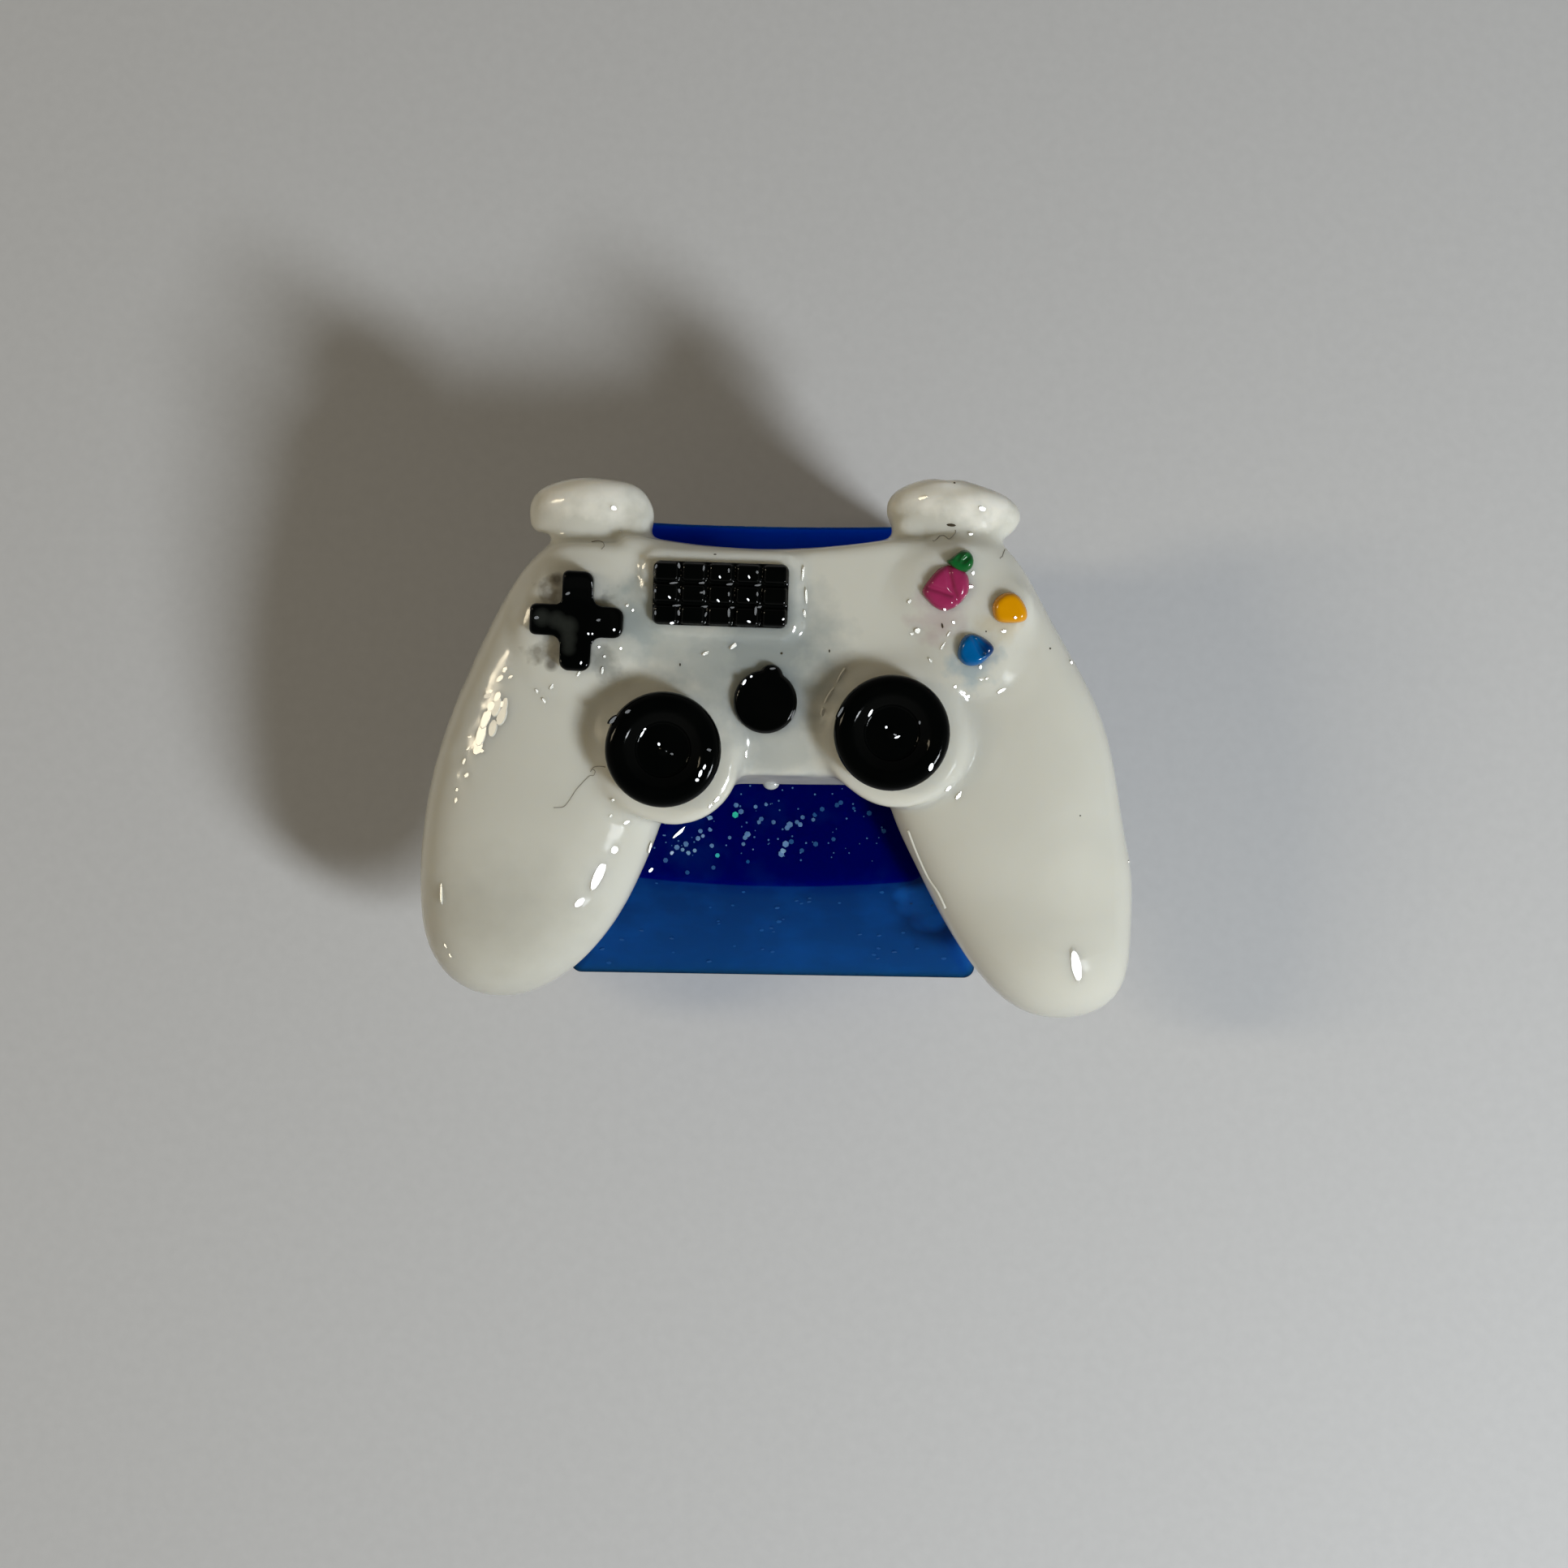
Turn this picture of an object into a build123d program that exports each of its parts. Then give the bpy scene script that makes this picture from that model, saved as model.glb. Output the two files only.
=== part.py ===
from build123d import *
import math
import os

os.makedirs("parts", exist_ok=True)

# Keycap base: a one-unit key, all sizes in millimetres
base_width = 18.05
base_depth = 18.05
base_corner = 0.5
top_width = 13.0
top_depth = 14.4
top_corner = 1.0
top_setback = 1.85
top_back_lip = 0.2
front_height = 8.2
back_height = 11.2
dish_depth = 0.6
top_edge_round = 0.3
wall = 1.5
roof = 1.8

# Post with the cross-shaped socket for the switch
post_diameter = 5.5
post_inset = 0.4
socket_length = 4.1
socket_width = 1.3
socket_depth = 4.0

# Centre plate of the game pad, heights measured square to the slanted top
plate_height = 3.4
plate_half_width = 6.4
plate_front = 2.8
plate_back = 6.9
plate_draft = 12.0
plate_corner = 2.0
plate_bevel_run = 1.5
plate_bevel_drop = 0.5
plate_edge_round = 0.35
back_hollow = 0.48
back_hollow_span = 10.28
back_hollow_shift = -0.6

# Grips, from shoulder to tip: (how far behind the middle, outer edge, inner edge)
left_grip_rows = [
    (6.6, 9.25, 4.6),
    (5.4, 10.5, 4.4),
    (4.2, 11.27, 4.2),
    (0.7, 12.95, 4.1),
    (-3.0, 14.22, 4.3),
    (-6.6, 14.76, 5.29),
    (-8.8, 14.76, 6.33),
    (-10.5, 14.38, 7.56),
    (-11.7, 13.55, 8.94),
    (-12.3, 12.55, 10.13),
]
left_tip = (-12.5, 11.35)
right_grip_rows = [
    (6.9, 9.0, 4.6),
    (5.8, 10.08, 4.4),
    (4.4, 10.92, 4.3),
    (1.0, 12.9, 4.3),
    (-2.8, 14.22, 4.5),
    (-6.6, 14.96, 5.9),
    (-9.3, 15.06, 7.35),
    (-11.0, 14.93, 8.5),
    (-12.2, 14.38, 9.65),
    (-12.85, 13.4, 10.75),
]
right_tip = (-13.1, 12.1)
grip_crown = 0.2
grip_fall = 0.4
shoulder_drop = 0.7
tip_drop = 2.3
shoulder_fullness = 0.78
tip_fullness = 0.58
tip_length = 3.1
shoulder_round = 0.5

# Shoulder bumpers, from crease to back: (how far behind the middle, right edge, left edge), and their necks
left_bumper_rows = [
    (6.95, -5.25, -10.05),
    (7.3, -5.15, -10.23),
    (7.8, -5.1, -10.29),
    (8.3, -5.26, -10.2),
    (8.75, -5.58, -9.82),
    (9.08, -6.2, -9.1),
]
left_bumper_tip = (9.27, -7.6)
left_neck_center = (-7.28, 7.7)
left_neck_width = 4.04
right_bumper_rows = [
    (7.0, 9.35, 4.84),
    (7.35, 9.76, 4.7),
    (7.8, 10.0, 4.46),
    (8.3, 9.88, 4.42),
    (8.8, 9.27, 4.68),
    (9.17, 8.33, 5.28),
]
right_bumper_tip = (9.39, 6.75)
right_neck_center = (6.95, 7.8)
right_neck_width = 4.5
bumper_level = 1.4
bumper_half_height = 1.5
bumper_crown = 8.05
bumper_front_reach = 2.0
bumper_fullness = 0.52
bumper_edge_round = 0.25
neck_level = 1.6
neck_thickness = 2.0
neck_round = 0.7
neck_length = 2.6

# Thumbsticks and the bosses under them
left_boss_center = (-4.15, -2.16)
left_boss_radius = 2.75
left_skirt_center = (-4.8, -1.2)
left_skirt_radius = 3.5
right_boss_center = (5.05, -1.22)
right_boss_radius = 2.85
right_skirt_center = (4.45, -0.35)
right_skirt_radius = 3.2
boss_height = 0.5
boss_round = 0.35
skirt_height = 1.0
left_stick_center = (-4.52, -1.7)
right_stick_center = (4.72, -0.88)
stick_radius = 2.36
stick_height = 1.2
stick_neck_radius = 1.7
stick_neck_height = 0.2
stick_rim_round = 0.42
stick_crest_radius = 1.6
stick_dimple_depth = 0.32
stick_ring_radius = 1.12
stick_ring_step = 0.1
stick_pip_radius = 0.25

# Direction pad on its boss
cross_center = (-8.1, 3.43)
cross_turn = -2.0
cross_span_x = 3.8
cross_span_y = 4.06
cross_arm = 1.27
cross_corner = 0.4
cross_inner_corner = 0.25
cross_height = 0.75
cross_edge_round = 0.18
cross_hollow = 0.28
cross_hollow_radius = 6.0
cross_boss_radius = 2.55
cross_boss_shift = -0.28
small_boss_height = 0.35
small_boss_round = 0.25

# Key panel on its plinth
panel_center = (-2.3, 4.58)
panel_turn = -1.0
panel_width = 5.5
panel_depth = 2.6
panel_columns = 5
panel_rows = 3
panel_corner = 0.3
panel_slab = 0.3
cell_height = 0.18
cell_gap = 0.14
cell_round = 0.12
plinth_margin = 0.5
plinth_height = 0.3
plinth_corner = 0.7

# Home button with the small bump on its rim
home_center = (-0.42, 0.24)
home_radius = 1.3
home_height = 0.45
home_bevel = 0.13
bump_radius = 0.48
bump_reach = 1.55
bump_bearing = 78.0

# Colour buttons: each drop is a soft outline of points about its center
pink_center = (6.83, 4.97)
pink_outline = [
    (-0.92, -0.05),
    (-0.5, 0.55),
    (0.15, 0.93),
    (0.72, 0.66),
    (0.92, 0.0),
    (0.6, -0.55),
    (0.0, -0.88),
    (-0.62, -0.62),
]
green_center = (7.4, 6.1)
green_outline = [
    (-0.53, 0.02),
    (-0.2, 0.24),
    (0.19, 0.42),
    (0.49, 0.15),
    (0.42, -0.3),
    (-0.1, -0.42),
]
yellow_center = (9.41, 4.22)
yellow_outline = [
    (-0.66, -0.1),
    (-0.48, 0.4),
    (0.05, 0.62),
    (0.55, 0.25),
    (0.68, -0.45),
    (0.1, -0.6),
    (-0.52, -0.48),
]
blue_center = (8.0, 2.5)
blue_outline = [
    (-0.61, 0.0),
    (-0.03, 0.63),
    (0.5, 0.42),
    (0.8, 0.1),
    (0.52, -0.38),
    (-0.03, -0.63),
]
drop_height = 0.45
drop_profile = [(0.0, 1.0), (0.55, 1.0), (0.85, 0.88), (1.0, 0.6)]
pink_lobe_radius = 1.75
green_lobe_radius = 0.95
yellow_lobe_radius = 1.15
blue_lobe_radius = 1.8
lobe_corner = 0.4

# Depth that each inlaid pour is set into the white resin
seat = 0.15


# Planes: the slanted top carries the whole game pad
rise = back_height - front_height
top_middle = (front_height + back_height) / 2
top_plane = Plane(
    origin=(0, top_setback, top_middle),
    x_dir=(1, 0, 0),
    z_dir=(0, -rise, top_depth),
)
slant_depth = math.hypot(top_depth, rise)


def pad_plane(center, height, turn=0.0):
    """A plane on the game pad, parallel to the slanted top, turned about its own normal."""
    return Plane(
        origin=top_plane.from_local_coords((center[0], center[1], height)),
        x_dir=top_plane.x_dir.rotate(Axis((0, 0, 0), top_plane.z_dir), turn),
        z_dir=top_plane.z_dir,
    )


def upright_plane(center, height=0.0):
    """A plane across the game pad: its x runs to the right and its y away from the slanted top."""
    return Plane(
        origin=top_plane.from_local_coords((center[0], center[1], height)),
        x_dir=top_plane.x_dir,
        z_dir=-top_plane.y_dir,
    )


# Levels on the game pad, measured from the slanted top
boss_top = plate_height + boss_height
small_boss_top = plate_height + small_boss_height
plinth_top = plate_height + plinth_height
pad_low = -2 * dish_depth
boss_root = plate_height / 2


# Keycap base: outer form with the dished top
with BuildPart() as base_form:
    with BuildSketch(Plane.XY):
        RectangleRounded(base_width, base_depth, base_corner)
    with BuildSketch(top_plane):
        with Locations((0, top_back_lip / 2)):
            RectangleRounded(top_width, slant_depth + top_back_lip, top_corner)
    loft(ruled=True)
    dish_radius = (top_width**2 / 4 + dish_depth**2) / (2 * dish_depth)
    with BuildSketch(upright_plane((0, 0), dish_radius - dish_depth)):
        Circle(dish_radius)
    extrude(amount=base_depth, both=True, mode=Mode.SUBTRACT)
    dish_face = base_form.faces().filter_by(GeomType.CYLINDER).sort_by(SortBy.AREA)[-1]
    fillet(dish_face.edges(), radius=top_edge_round)

with BuildPart() as socket_post:
    with BuildSketch(Plane.XY.offset(post_inset)):
        Circle(post_diameter / 2)
    extrude(amount=back_height)
    add(base_form.part, mode=Mode.INTERSECT)
    with BuildSketch(Plane.XY.offset(post_inset)):
        Rectangle(socket_length, socket_width)
        Rectangle(socket_width, socket_length)
    extrude(amount=socket_depth, mode=Mode.SUBTRACT)

# The hollow follows the walls up to the roof
roof_drop = roof + dish_depth
roof_share = roof_drop / top_middle
roof_width = top_width + (base_width - top_width) * roof_share
roof_depth = slant_depth + (base_depth - slant_depth) * roof_share
roof_plane = Plane(
    origin=(0, top_setback * (1 - roof_share), top_middle - roof_drop),
    x_dir=top_plane.x_dir,
    z_dir=top_plane.z_dir,
)
with BuildPart() as keycap_base:
    add(base_form.part)
    with BuildSketch(Plane.XY):
        RectangleRounded(base_width - 2 * wall, base_depth - 2 * wall, base_corner)
    with BuildSketch(roof_plane):
        RectangleRounded(roof_width - 2 * wall, roof_depth - 2 * wall, top_corner)
    loft(ruled=True, mode=Mode.SUBTRACT)
    add(socket_post.part)
keycap_base.part.label = "keycap_base"
export_step(keycap_base.part, "parts/keycap_base.step")


# Thumbsticks: a dished disc turned about its own axis
def thumbstick(center):
    axis = Axis(top_plane.from_local_coords((center[0], center[1], 0)), top_plane.z_dir)
    ring_level = stick_height - stick_dimple_depth
    with BuildPart() as stick:
        with BuildSketch(upright_plane(center, boss_top)):
            with BuildLine():
                Polyline(
                    (0, -seat),
                    (stick_neck_radius, -seat),
                    (stick_neck_radius, stick_neck_height),
                    (stick_radius, stick_neck_height),
                    (stick_radius, stick_height),
                    (stick_crest_radius, stick_height),
                    (stick_ring_radius, ring_level),
                    (stick_ring_radius, ring_level - stick_ring_step),
                    (stick_pip_radius, ring_level - stick_ring_step),
                    (0, ring_level),
                    (0, -seat),
                )
            corners = make_face().vertices()
            rim = corners.group_by(Axis.X)[-1]
            crest = corners.group_by(Axis.Y)[-1].sort_by(Axis.X)[0]
            fillet([*rim, crest], radius=stick_rim_round)
        revolve(axis=axis)
    return stick.part


left_thumbstick = thumbstick(left_stick_center)
left_thumbstick.label = "left_thumbstick"
export_step(left_thumbstick, "parts/left_thumbstick.step")

right_thumbstick = thumbstick(right_stick_center)
right_thumbstick.label = "right_thumbstick"
export_step(right_thumbstick, "parts/right_thumbstick.step")


# Direction pad: a plus with round corners and a hollowed middle
cross_seat = pad_plane(cross_center, small_boss_top - seat, cross_turn)
with BuildPart(cross_seat) as direction_pad:
    with BuildSketch(cross_seat) as cross_outline:
        Rectangle(cross_span_x, cross_arm)
        Rectangle(cross_arm, cross_span_y)
        ends = cross_outline.vertices().sort_by_distance(cross_seat.origin)
        fillet(ends[4:], radius=cross_corner)
        inner = cross_outline.vertices().sort_by_distance(cross_seat.origin)
        fillet(inner[:4], radius=cross_inner_corner)
    extrude(amount=cross_height + seat)
    cross_face = direction_pad.faces().sort_by(Axis(cross_seat.origin, cross_seat.z_dir))[-1]
    fillet(cross_face.edges(), radius=cross_edge_round)
    with Locations((0, 0, cross_height + seat - cross_hollow + cross_hollow_radius)):
        Sphere(cross_hollow_radius, mode=Mode.SUBTRACT)
direction_pad.part.label = "direction_pad"
export_step(direction_pad.part, "parts/direction_pad.step")


# Key panel: a slab with rows of cushioned cells
panel_seat = pad_plane(panel_center, plinth_top - seat, panel_turn)
cell_pitch_x = panel_width / panel_columns
cell_pitch_y = panel_depth / panel_rows
with BuildPart(panel_seat) as touch_panel:
    with BuildSketch(panel_seat):
        RectangleRounded(panel_width, panel_depth, panel_corner)
    extrude(amount=panel_slab + seat)
    cell_level = panel_seat.offset(panel_slab + seat)
    with BuildSketch(cell_level):
        with GridLocations(cell_pitch_x, cell_pitch_y, panel_columns, panel_rows):
            RectangleRounded(cell_pitch_x - cell_gap, cell_pitch_y - cell_gap, cell_round)
    extrude(amount=cell_height)
    cell_faces = touch_panel.faces().group_by(Axis(panel_seat.origin, panel_seat.z_dir))[-1]
    fillet(cell_faces.edges(), radius=cell_round)
touch_panel.part.label = "touch_panel"
export_step(touch_panel.part, "parts/touch_panel.step")


# Home button: a bevelled disc with a small bump from casting
home_seat = pad_plane(home_center, plate_height - seat)
with BuildPart(home_seat) as home_button:
    with BuildSketch(home_seat):
        Circle(home_radius)
        with PolarLocations(bump_reach - bump_radius, 1, start_angle=bump_bearing):
            Circle(bump_radius)
    extrude(amount=home_height + seat)
    home_face = home_button.faces().sort_by(Axis(home_seat.origin, home_seat.z_dir))[-1]
    chamfer(home_face.edges(), length=home_bevel)
home_button.part.label = "home_button"
export_step(home_button.part, "parts/home_button.step")


# Colour buttons: soft drops set into their lobes
def color_drop(center, outline):
    drop_seat = pad_plane(center, small_boss_top - seat)
    full_height = drop_height + seat
    with BuildPart() as drop:
        for level, spread in drop_profile:
            with BuildSketch(drop_seat.offset(level * full_height)):
                with BuildLine():
                    Spline(*[(x * spread, y * spread) for x, y in outline], periodic=True)
                make_face()
        loft()
    return drop


pink_button = color_drop(pink_center, pink_outline)
pink_button.part.label = "pink_button"
export_step(pink_button.part, "parts/pink_button.step")

yellow_button = color_drop(yellow_center, yellow_outline)
yellow_button.part.label = "yellow_button"
export_step(yellow_button.part, "parts/yellow_button.step")

blue_button = color_drop(blue_center, blue_outline)
blue_button.part.label = "blue_button"
export_step(blue_button.part, "parts/blue_button.step")

# The green drop ran against the pink one, so it takes the pink one's side
green_drop = color_drop(green_center, green_outline)
with BuildPart() as green_button:
    add(green_drop.part)
    add(pink_button.part, mode=Mode.SUBTRACT)
green_button.part.label = "green_button"
export_step(green_button.part, "parts/green_button.step")


# Soft cross sections for the grips and the bumpers
def soft_section(along, outer, inner, level, half_height, fullness):
    half_width = (outer - inner) / 2
    pull_x = half_width * fullness
    pull_z = half_height * fullness
    center = ((outer + inner) / 2, along)
    with BuildSketch(upright_plane(center, level)) as section:
        with BuildLine():
            for side_x, side_z in ((1, 1), (-1, 1), (-1, -1), (1, -1)):
                wide = (side_x * half_width, 0)
                tall = (0, side_z * half_height)
                near_wide = (side_x * half_width, side_z * pull_z)
                near_tall = (side_x * pull_x, side_z * half_height)
                if side_x == side_z:
                    Bezier(wide, near_wide, near_tall, tall)
                else:
                    Bezier(tall, near_tall, near_wide, wide)
        make_face()
    return section.sketch


# Grips: lofted from the shoulder to a rounded tip
def grip(side, rows, tip):
    shoulder_along = rows[0][0]
    tip_along, tip_across = tip
    grip_length = shoulder_along - tip_along
    crown = plate_height + grip_crown

    def levels(along):
        share = (shoulder_along - along) / grip_length
        low = -shoulder_drop - (tip_drop - shoulder_drop) * math.sin(share * math.pi / 2)
        high = crown - grip_fall * share
        into_tip = max(0.0, tip_along + tip_length - along) / tip_length
        half_height = (high - low) / 2 * math.sqrt(1 - into_tip**2)
        return (high + low) / 2, half_height, share

    sections = []
    for along, outer, inner in rows:
        middle, half_height, share = levels(along)
        fullness = shoulder_fullness + (tip_fullness - shoulder_fullness) * share
        sections.append(soft_section(along, side * outer, side * inner, middle, half_height, fullness))
    tip_level = levels(tip_along)[0]
    tip_point = Vertex(top_plane.from_local_coords((side * tip_across, tip_along, tip_level)))
    with BuildPart() as form:
        loft(sections=[*sections, tip_point])
        back_face = form.faces().sort_by(Axis(top_plane.origin, top_plane.y_dir))[-1]
        fillet(back_face.edges(), radius=shoulder_round)
    return form.part


left_grip = grip(-1, left_grip_rows, left_tip)
right_grip = grip(1, right_grip_rows, right_tip)


# Shoulder bumpers: soft sections lofted to a rounded back, on a narrower neck
def bumper(rows, tip, neck_center, neck_width):
    tip_along, tip_across = tip
    sections = []
    for along, right, left in rows:
        from_crown = along - bumper_crown
        reach = tip_along - bumper_crown if from_crown > 0 else bumper_front_reach
        half_height = bumper_half_height * math.sqrt(1 - (from_crown / reach) ** 2)
        sections.append(soft_section(along, right, left, bumper_level, half_height, bumper_fullness))
    tip_point = Vertex(top_plane.from_local_coords((tip_across, tip_along, bumper_level)))
    with BuildPart() as form:
        loft(sections=[*sections, tip_point])
        crease_face = form.faces().sort_by(Axis(top_plane.origin, top_plane.y_dir))[0]
        fillet(crease_face.edges(), radius=bumper_edge_round)
        with BuildSketch(upright_plane(neck_center, neck_level)):
            RectangleRounded(neck_width, neck_thickness, neck_round)
        extrude(amount=neck_length)
    return form.part


left_bumper = bumper(left_bumper_rows, left_bumper_tip, left_neck_center, left_neck_width)
right_bumper = bumper(right_bumper_rows, right_bumper_tip, right_neck_center, right_neck_width)


# Bosses: round pads on the plate that carry the other pours
def boss(outline_plane, low, top, edge_round, circles):
    with BuildPart() as form:
        with BuildSketch(outline_plane.offset(low)) as outline:
            for center, radius in circles:
                with Locations(center):
                    Circle(radius)
            corners = outline.vertices()
            if len(circles) > 1:
                fillet(corners, radius=lobe_corner)
        extrude(amount=top - low)
        top_face = form.faces().sort_by(Axis(outline_plane.origin, outline_plane.z_dir))[-1]
        fillet(top_face.edges(), radius=edge_round)
    return form.part


# Skirts: where the white resin ran down from a stick's boss
def skirt(foot_center, foot_radius, head_center, head_radius):
    with BuildPart() as form:
        with BuildSketch(top_plane.offset(boss_top - skirt_height)):
            with Locations(foot_center):
                Circle(foot_radius)
        with BuildSketch(top_plane.offset(boss_top)):
            with Locations(head_center):
                Circle(head_radius)
        loft(ruled=True)
        head_face = form.faces().sort_by(Axis(top_plane.origin, top_plane.z_dir))[-1]
        fillet(head_face.edges(), radius=boss_round)
    return form.part


left_skirt = skirt(left_skirt_center, left_skirt_radius, left_boss_center, left_boss_radius)
right_skirt = skirt(right_skirt_center, right_skirt_radius, right_boss_center, right_boss_radius)
left_boss = boss(top_plane, pad_low, boss_top, boss_round, [(left_boss_center, left_boss_radius)])
right_boss = boss(top_plane, pad_low, boss_top, boss_round, [(right_boss_center, right_boss_radius)])
cross_boss_center = (cross_center[0], cross_center[1] + cross_boss_shift)
cross_boss_circle = (cross_boss_center, cross_boss_radius)
cross_boss = boss(top_plane, boss_root, small_boss_top, small_boss_round, [cross_boss_circle])
lobes = [
    (pink_center, pink_lobe_radius),
    (green_center, green_lobe_radius),
    (yellow_center, yellow_lobe_radius),
    (blue_center, blue_lobe_radius),
]
color_boss = boss(top_plane, boss_root, small_boss_top, small_boss_round, lobes)


# Game pad body: plate, grips, bumpers and bosses as one white pour
front_edge_level = plate_height - plate_bevel_drop
plate_fall = (front_edge_level - pad_low) * math.tan(math.radians(plate_draft))
with BuildPart() as gamepad_body:
    with BuildSketch(Plane(top_plane.origin, x_dir=top_plane.y_dir, z_dir=top_plane.x_dir)):
        with BuildLine():
            Polyline(
                (-plate_front - plate_fall, pad_low),
                (-plate_front, front_edge_level),
                (-plate_front + plate_bevel_run, plate_height),
                (plate_back, plate_height),
                (plate_back, pad_low),
                close=True,
            )
        make_face()
    extrude(amount=plate_half_width, both=True)
    front_face = gamepad_body.faces().sort_by(Axis(top_plane.origin, top_plane.y_dir))[0]
    fillet(front_face.edges().group_by(SortBy.LENGTH)[0], radius=plate_corner)
    hollow_radius = (back_hollow_span**2 / 4 + back_hollow**2) / (2 * back_hollow)
    hollow_center = (back_hollow_shift, plate_back - back_hollow + hollow_radius)
    with BuildSketch(pad_plane(hollow_center, pad_low)):
        Circle(hollow_radius)
    extrude(amount=plate_height - pad_low, mode=Mode.SUBTRACT)
    plate_top = gamepad_body.faces().sort_by(Axis(top_plane.origin, top_plane.z_dir))[-1]
    fillet(plate_top.edges(), radius=plate_edge_round)
    add(left_grip)
    add(right_grip)
    add(left_bumper)
    add(right_bumper)
    add(left_boss)
    add(right_boss)
    add(left_skirt)
    add(right_skirt)
    add(cross_boss)
    add(color_boss)
    with BuildSketch(pad_plane(panel_center, boss_root, panel_turn)):
        plinth_width = panel_width + 2 * plinth_margin
        plinth_depth = panel_depth + 2 * plinth_margin
        RectangleRounded(plinth_width, plinth_depth, plinth_corner)
    extrude(amount=plinth_top - boss_root)
    add(base_form.part, mode=Mode.SUBTRACT)
    add(left_thumbstick, mode=Mode.SUBTRACT)
    add(right_thumbstick, mode=Mode.SUBTRACT)
    add(direction_pad.part, mode=Mode.SUBTRACT)
    add(touch_panel.part, mode=Mode.SUBTRACT)
    add(home_button.part, mode=Mode.SUBTRACT)
    add(pink_button.part, mode=Mode.SUBTRACT)
    add(green_button.part, mode=Mode.SUBTRACT)
    add(yellow_button.part, mode=Mode.SUBTRACT)
    add(blue_button.part, mode=Mode.SUBTRACT)
gamepad_body.part.label = "gamepad_body"
export_step(gamepad_body.part, "parts/gamepad_body.step")
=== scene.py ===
import math
import random

import bmesh
import bpy
from mathutils import Matrix, Vector, noise
from mathutils.bvhtree import BVHTree
from mathutils.geometry import intersect_point_line


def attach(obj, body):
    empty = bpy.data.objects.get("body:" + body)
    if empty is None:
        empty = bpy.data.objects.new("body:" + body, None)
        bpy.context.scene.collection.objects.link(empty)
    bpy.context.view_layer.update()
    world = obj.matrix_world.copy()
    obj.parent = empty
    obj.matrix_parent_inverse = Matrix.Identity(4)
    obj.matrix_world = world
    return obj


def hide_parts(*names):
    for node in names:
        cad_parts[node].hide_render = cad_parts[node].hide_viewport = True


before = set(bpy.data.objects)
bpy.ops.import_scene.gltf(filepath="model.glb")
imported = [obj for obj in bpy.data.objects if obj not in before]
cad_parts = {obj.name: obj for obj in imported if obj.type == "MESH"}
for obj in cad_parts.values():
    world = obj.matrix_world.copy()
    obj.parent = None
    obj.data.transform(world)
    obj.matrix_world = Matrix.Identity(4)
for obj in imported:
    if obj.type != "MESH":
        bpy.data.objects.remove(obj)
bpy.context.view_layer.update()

scene = bpy.context.scene
scene.view_settings.view_transform = "Standard"
MM = 0.001

# The keycap's slanted top, which carries the game pad, in millimetres
front_height = 8.2
back_height = 11.2
top_depth = 14.4
top_setback = 1.85
slant = math.atan2(back_height - front_height, top_depth)
pad_origin = Vector((0, top_setback, (front_height + back_height) / 2))
pad_right = Vector((1, 0, 0))
pad_back = Vector((0, math.cos(slant), math.sin(slant)))
pad_up = Vector((0, -math.sin(slant), math.cos(slant)))
pad_turn = Matrix((pad_right, pad_back, pad_up)).transposed()

# Levels on the game pad, square to the slanted top
plate_level = 3.4
plinth_level = 3.7
small_boss_level = 3.75
stick_boss_level = 3.9

# Camera, from the photograph's own frame
picture_side = 1932
focal_length = 3700
sensor_width = 36.0
camera_height_angle = math.radians(83.2)
camera_roll = math.radians(0.9)
camera_distance = 135.3
camera_target = Vector((0.392, -0.429, 0))
camera_clip = 5
# Pixels of the photograph to a millimetre of the game pad
picture_scale = 30.4

camera_back = Vector((0, -math.cos(camera_height_angle), math.sin(camera_height_angle)))
level_up = Vector((0, math.sin(camera_height_angle), math.cos(camera_height_angle)))
level_right = Vector((1, 0, 0))
camera_right = math.cos(camera_roll) * level_right + math.sin(camera_roll) * level_up
camera_up = math.cos(camera_roll) * level_up - math.sin(camera_roll) * level_right
camera_place = camera_target + camera_distance * camera_back

# Lamps: a cool window from the right front and a warm one on the left
key_bearing = math.radians(-39.5)
key_height_angle = math.radians(41)
key_distance = 230
key_size = (32, 54)
key_power = 0.43
key_color = (0.95, 1.0, 1.04)
warm_bearing = math.radians(180)
warm_height_angle = math.radians(43)
warm_distance = 380
warm_size = (38, 130)
warm_power = 0.3
warm_color = (1.0, 0.86, 0.62)


def toward(bearing, height_angle):
    """A unit direction from its bearing round the keycap and its height above the floor."""
    flat = math.cos(height_angle)
    return Vector((flat * math.cos(bearing), flat * math.sin(bearing), math.sin(height_angle)))


key_place = camera_target + key_distance * toward(key_bearing, key_height_angle)
warm_place = camera_target + warm_distance * toward(warm_bearing, warm_height_angle)


def on_pad(x, y, height):
    """A point in millimetres from its place on the game pad: right, back and up from the slant."""
    return pad_origin + x * pad_right + y * pad_back + height * pad_up


def pad_coordinates(point):
    """A point's place on the game pad: right, back and up from the slant, in millimetres."""
    return pad_turn.transposed() @ (point - pad_origin)


def sight(column, row):
    """The line of sight through a pixel of the photograph."""
    across = (column - picture_side / 2) / focal_length
    down = (row - picture_side / 2) / focal_length
    return (across * camera_right - down * camera_up - camera_back).normalized()


def sighted(skin, column, row):
    """The point and the normal of a surface where a pixel of the photograph shows it."""
    return skin.ray_cast(camera_place, sight(column, row))[:2]


def along_picture(slope, facing):
    """The direction square to facing that runs at that slope, in degrees, in the photograph."""
    along = math.cos(math.radians(slope)) * camera_right + math.sin(math.radians(slope)) * camera_up
    return (along - facing * along.dot(facing)).normalized()


# Mesh work, in millimetres until a piece is finished
weld_distance = 0.0005
relax_share = 0.5


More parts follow.
